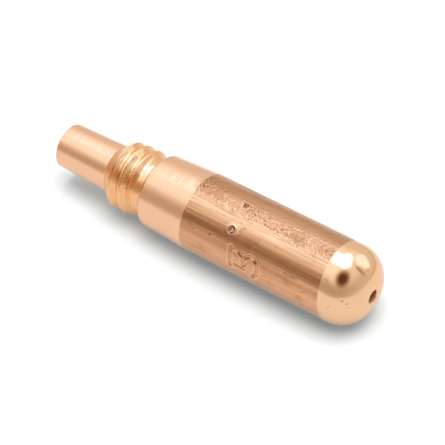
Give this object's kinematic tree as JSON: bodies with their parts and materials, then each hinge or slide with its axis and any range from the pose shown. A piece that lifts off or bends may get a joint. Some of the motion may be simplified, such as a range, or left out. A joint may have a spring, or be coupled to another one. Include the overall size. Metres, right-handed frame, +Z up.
{
  "type": "welding contact tip",
  "caption": "Copper welding contact tip: plain tail with a wire funnel, short thread, tapered turned seat, drawn round body and a domed nose with a small exit hole.",
  "frame": {"origin": "middle of the footprint of the tip as it lies on its side, on the floor under its axis", "axes": "+X along the tip's axis from the tail to the nose, +Z up"},
  "size_m": [0.0432, 0.0094, 0.0095],
  "materials": {
    "copper": "bare copper: bright turned tail, thread, seat and nose, with the drawn bar left as it came between them"
  },
  "bodies": {
    "root": {"contact_tip": "copper"}
  },
  "joints": []
}
